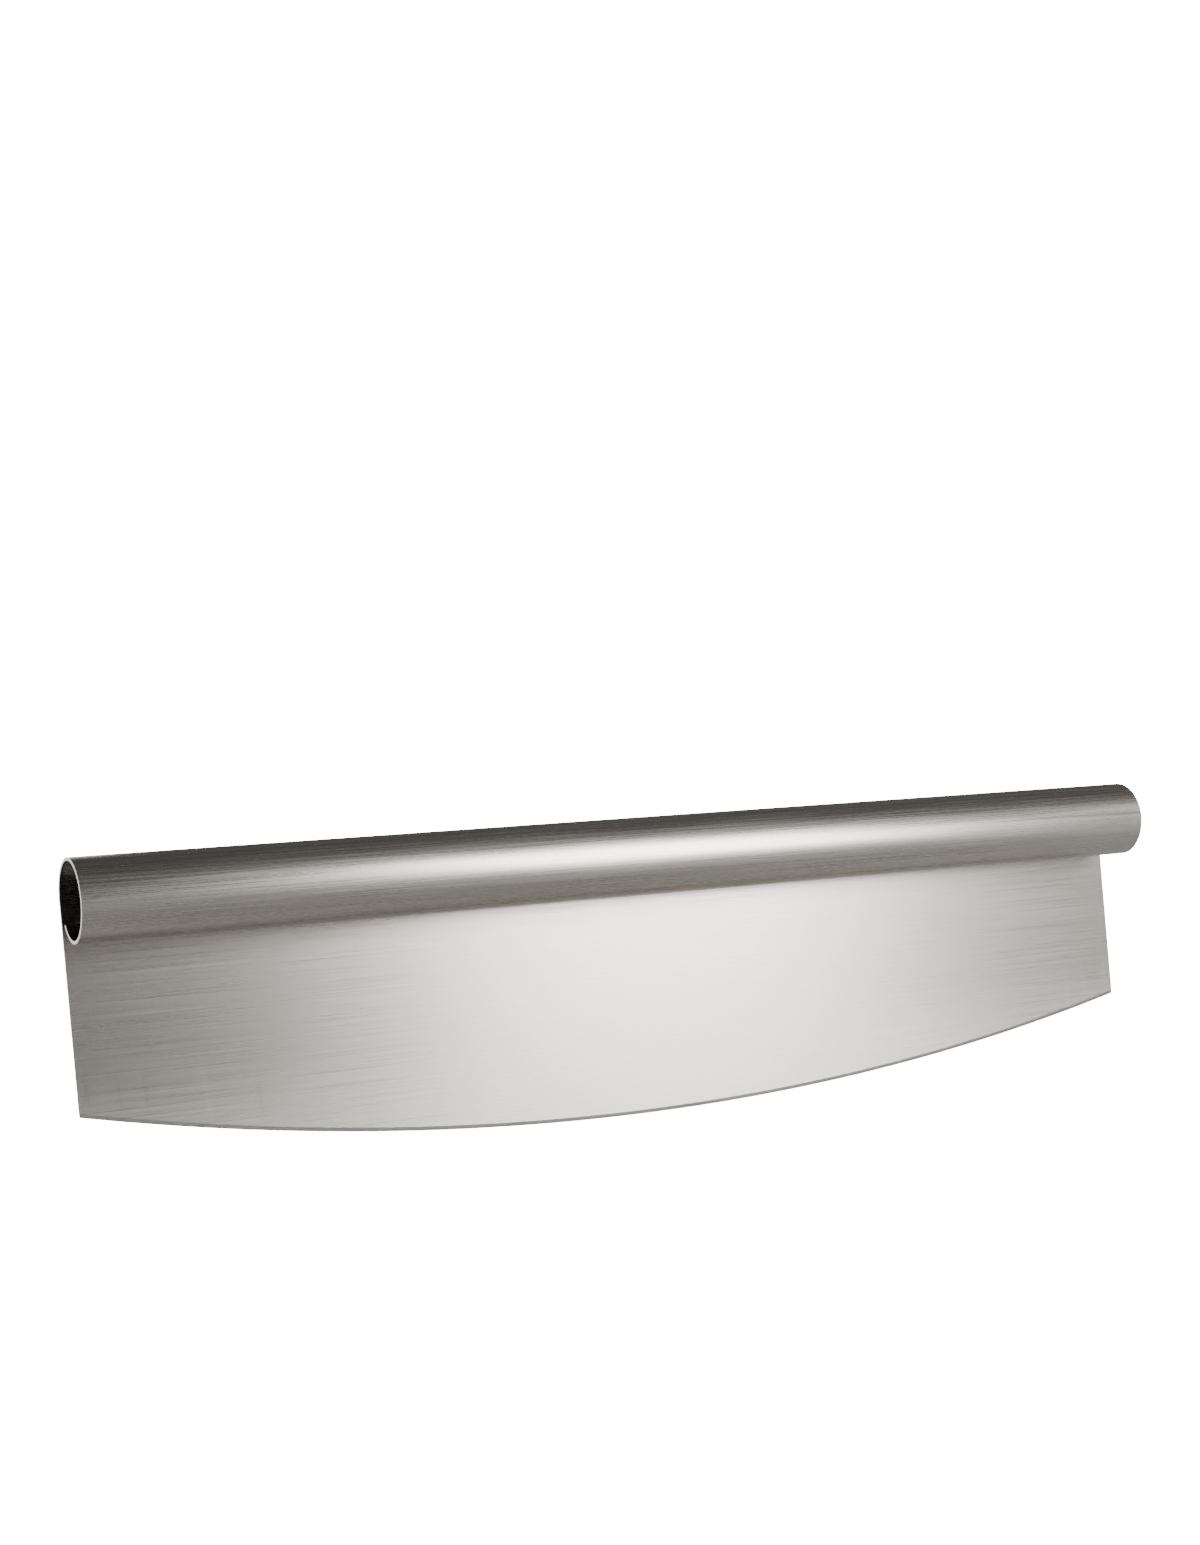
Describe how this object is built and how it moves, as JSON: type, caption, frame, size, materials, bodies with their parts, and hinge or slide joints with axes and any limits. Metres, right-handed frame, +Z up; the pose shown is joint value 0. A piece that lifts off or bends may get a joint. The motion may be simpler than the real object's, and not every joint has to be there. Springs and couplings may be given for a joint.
{
  "type": "rocking pizza knife",
  "caption": "Long one-piece steel rocker knife: a flat blade with a curved cutting edge, its top rolled into a tube handle that is open at both ends",
  "frame": {"origin": "under the middle of the handle, at the lowest point of the cutting edge", "axes": "+X along the handle and the edge, +Y out of the blade's flat back, +Z up from the edge to the handle"},
  "size_m": [0.356, 0.0238, 0.09],
  "materials": {
    "blade_steel": "stainless sheet brushed along its length, with a ground bevel at the edge",
    "handle_steel": "stainless sheet brushed along its length, rolled to a tube",
    "weld_steel": "bare stainless tack weld"
  },
  "bodies": {
    "root": {"blade": "blade_steel", "rolled_handle": "handle_steel", "seam_tacks": "weld_steel"}
  },
  "joints": []
}
